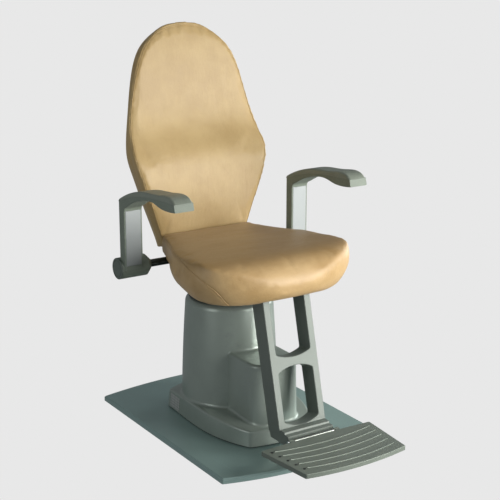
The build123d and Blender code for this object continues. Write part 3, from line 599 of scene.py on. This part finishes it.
# ------------------------------------------------------------------ sub-assemblies
class Chair:
    """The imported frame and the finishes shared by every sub-assembly."""

    def __init__(self) -> None:
        """Load the frame and mix the finishes."""
        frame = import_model()
        self.nodes = frame["nodes"]
        self.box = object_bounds()
        deselect()
        self.finishes = {slot.name: slot.value.material(slot.name) for slot in Slot}
        self.slots = {row["node"]: row["material_slot"] for row in frame["record"]["subparts"]}

    def dress(self, piece: bpy.types.Object, slot: str, body: str) -> None:
        """Give a new piece the finish of a record slot, and its body."""
        piece.data.materials.clear()
        piece.data.materials.append(self.finishes[slot])
        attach(piece, body)
        LOG.info("%s rides on %s with %s", piece.name, body, slot)

    def paint_frame(self) -> None:
        """Give every node of the frame the finish of its slot."""
        for name, node in self.nodes.items():
            for holder in node.material_slots:
                holder.material = self.finishes[self.slots[name]]
            LOG.info("%s is finished with %s", name, self.slots[name])


@dataclass
class SeatPad:
    """The seat cushion: narrow at the back, with a deep rolled front and two side panels."""

    chair: Chair
    stuffing: Stuffing = Stuffing()
    seam: Seam = Seam()
    # One side seam, from the rear corner along the top edge and down under the front corner.
    side_seam: tuple[Point, ...] = (
        (-0.158, 0.124, 0.541), (-0.185, 0.050, 0.545), (-0.213, -0.040, 0.549),
        (-0.238, -0.120, 0.549), (-0.248, -0.175, 0.545), (-0.250, -0.220, 0.536),
        (-0.236, -0.258, 0.516), (-0.218, -0.282, 0.492), (-0.198, -0.286, 0.466),
        (-0.172, -0.276, 0.446))
    crease: float = 0.9 * MM
    # The worn place: its middle, its half width and depth, and the pitch of its creases.
    worn_middle: float = -0.03
    worn_half: tuple[float, float] = (0.17, 0.14)
    crease_pitch: tuple[float, float] = (6, 26)
    # The front roll: its rounding, where it starts, and how far it reaches to each side.
    roll: int = 45
    roll_start: float = -0.20
    roll_blend: float = 0.06
    roll_half: float = 0.238
    roll_fade: float = 0.03

    def build(self) -> None:
        """Upholster the seat."""
        nodes = self.chair.nodes
        pad = self.stuffing.copied(nodes["seat_cushion"], "seat_pad")
        apply_modifier(pad, "SMOOTH", factor=0.5, iterations=2)
        ease_edges(pad, self.roll, lambda p: min((self.roll_start - p.y) / self.roll_blend,
                                                 (self.roll_half - abs(p.x)) / self.roll_fade))
        self.stuffing.fill(pad, [nodes[n] for n in ("seat_board", "seat_carrier", "cross_bar")])
        apply_modifier(pad, "SUBSURF", levels=1, render_levels=1)
        self.crumple(pad)
        activate(pad)
        bpy.ops.object.shade_smooth()
        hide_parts("seat_cushion")
        self.chair.dress(pad, "seat_leather", "seat")
        for side, turn in (("left", 1), ("right", -1)):
            route = [(turn * x, y, z) for x, y, z in self.side_seam]
            welt = self.seam.sew("seat_welt_" + side, pad, route)
            self.chair.dress(welt, "seat_leather", "seat")

    def crumple(self, pad: bpy.types.Object) -> None:
        """Press soft creases into the top, deepest where a sitter's weight has been."""
        wide, deep = self.worn_half
        across, along = self.crease_pitch
        upward = [max(0.0, v.normal.z) for v in pad.data.vertices]
        for vertex, up in zip(pad.data.vertices, upward):
            p = vertex.co
            worn = up * math.exp(-((p.x / wide) ** 2) - ((p.y - self.worn_middle) / deep) ** 2)
            if worn > 0.02:
                fold = noise.noise(Vector((p.x * across, p.y * along, 0.0)))
                vertex.co.z += worn * self.crease * (fold - 0.3)


@dataclass
class BackPad:
    """The back cushion, whose front panel is sewn to a border all round."""

    chair: Chair
    stuffing: Stuffing = Stuffing(pressure=3.0, cap=3 * MM)
    seam: Seam = Seam()
    # Half width and height of the front panel's edge.
    edge: tuple[tuple[float, float], ...] = (
        (0.141, 0.512), (0.152, 0.545), (0.184, 0.640), (0.209, 0.720), (0.222, 0.770),
        (0.221, 0.815), (0.204, 0.900), (0.179, 1.000), (0.136, 1.084), (0.084, 1.125),
        (0.0, 1.145))
    inset: float = 4 * MM

    def build(self) -> None:
        """Upholster the back."""
        nodes = self.chair.nodes
        pad = self.stuffing.copied(nodes["back_cushion"], "back_pad")
        apply_modifier(pad, "SMOOTH", factor=0.5, iterations=3)
        self.stuffing.fill(pad, [nodes["back_shell"]])
        apply_modifier(pad, "SUBSURF", levels=1, render_levels=1)
        activate(pad)
        bpy.ops.object.shade_smooth()
        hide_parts("back_cushion")
        self.chair.dress(pad, "back_leather", "seat")
        skin = skin_of(pad)
        half = [(x - self.inset, z) for x, z in self.edge[:-1]]
        whole = half + [(0.0, self.edge[-1][1] - self.inset)] + [(-x, z) for x, z in reversed(half)]
        route = []
        for x, z in whole:
            hit = skin.ray_cast(Vector((x, -1.0, z)), Vector((0.0, 1.0, 0.0)))[0]
            if hit:
                route.append(tuple(hit))
        self.chair.dress(self.seam.sew("back_welt", pad, route, settle=2), "back_leather", "seat")


# ------------------------------------------------------------------ studio
@dataclass(frozen=True)
class SoftBox:
    """A rectangular studio light aimed at a point."""

    name: str
    place: Point
    width: float
    height: float
    power: float
    colour: Colour = (1.0, 1.0, 1.0)
    aim: Point = (0.0, -0.1, 0.55)

    def hang(self) -> None:
        """Put the light in the studio."""
        data = bpy.data.lights.new(self.name, "AREA")
        data.shape = "RECTANGLE"
        data.size, data.size_y = self.width, self.height
        data.energy = self.power
        data.color = self.colour
        lamp = bpy.data.objects.new(self.name, data)
        lamp.location = self.place
        lamp.visible_camera = False
        beam = Vector(self.aim) - Vector(self.place)
        lamp.rotation_euler = beam.to_track_quat("-Z", "Y").to_euler()
        bpy.context.scene.collection.objects.link(lamp)


@dataclass
class Studio:
    """A pale floor, soft lights and the camera."""

    grey: float = 0.807
    azimuth: float = -33.04
    elevation: float = 15.44
    distance: float = 3.5015
    lens: float = 88.9
    target: Point = (0.0, -0.1123, 0.5369)
    room: float = 50.0
    sky: Colour = (0.9, 0.95, 1.0)
    sky_strength: float = 0.22
    sensor: float = 36.0
    lights: tuple[SoftBox, ...] = (
        SoftBox("key", (1.35, -2.15, 0.8), 1.5, 2.1, 105.0, (1.0, 0.985, 0.96)),
        SoftBox("right", (2.5, 0.15, 0.75), 2.0, 1.4, 34.0, (0.95, 0.98, 1.0)),
        SoftBox("left", (-2.6, -0.6, 1.0), 1.2, 1.8, 12.0),
        SoftBox("above", (1.2, -1.0, 2.9), 1.2, 1.2, 4.0))

    def lay_floor(self) -> None:
        """Lay an even floor and hang a dome over it, both with the same pale glow."""
        make = Recipe("studio_grey", roughness=1.0, specular_ior_level=0.0,
                      base_color=(0.0, 0.0, 0.0), emission_color=(1.0, 1.0, 1.0),
                      emission_strength=self.grey)
        bpy.ops.mesh.primitive_plane_add(size=2 * self.room, location=(0.0, 0.0, -0.5 * MM))
        floor = bpy.context.object
        floor.name = "studio_floor"
        bpy.ops.mesh.primitive_uv_sphere_add(radius=self.room, segments=48, ring_count=24)
        dome = bpy.context.object
        dome.name = "studio_dome"
        for part in (floor, dome):
            part.data.materials.append(make.material)
            part.visible_diffuse = False
            part.visible_glossy = False
            part.visible_shadow = False
        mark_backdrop(floor, dome)

    def set_world(self) -> None:
        """Fill the room with a dim even light."""
        world = bpy.data.worlds.new("studio")
        world.use_nodes = True
        sky = next(n for n in world.node_tree.nodes if n.type == "BACKGROUND")
        sky.inputs["Color"].default_value = (*self.sky, 1.0)
        sky.inputs["Strength"].default_value = self.sky_strength
        bpy.context.scene.world = world

    def set_camera(self) -> None:
        """Stand the camera on its orbit round the chair."""
        a, e = math.radians(self.azimuth), math.radians(self.elevation)
        back = Vector((math.sin(a) * math.cos(e), -math.cos(a) * math.cos(e), math.sin(e)))
        data = bpy.data.cameras.new("camera")
        data.lens = self.lens
        data.sensor_width = self.sensor
        data.clip_end = 4 * self.room
        camera = bpy.data.objects.new("camera", data)
        camera.location = Vector(self.target) + back * self.distance
        camera.rotation_euler = (-back).to_track_quat("-Z", "Y").to_euler()
        bpy.context.scene.collection.objects.link(camera)
        bpy.context.scene.camera = camera

    def build(self) -> None:
        """Set up the whole studio."""
        bpy.context.scene.view_settings.view_transform = "Standard"
        self.lay_floor()
        self.set_world()
        self.set_camera()
        for light in self.lights:
            light.hang()


def main() -> None:
    """Build the chair's looks and the studio."""
    logging.basicConfig(level=logging.INFO, format="%(message)s")
    chair = Chair()
    Studio().build()
    chair.paint_frame()
    SeatPad(chair).build()
    BackPad(chair).build()


if __name__ == "__main__":
    main()
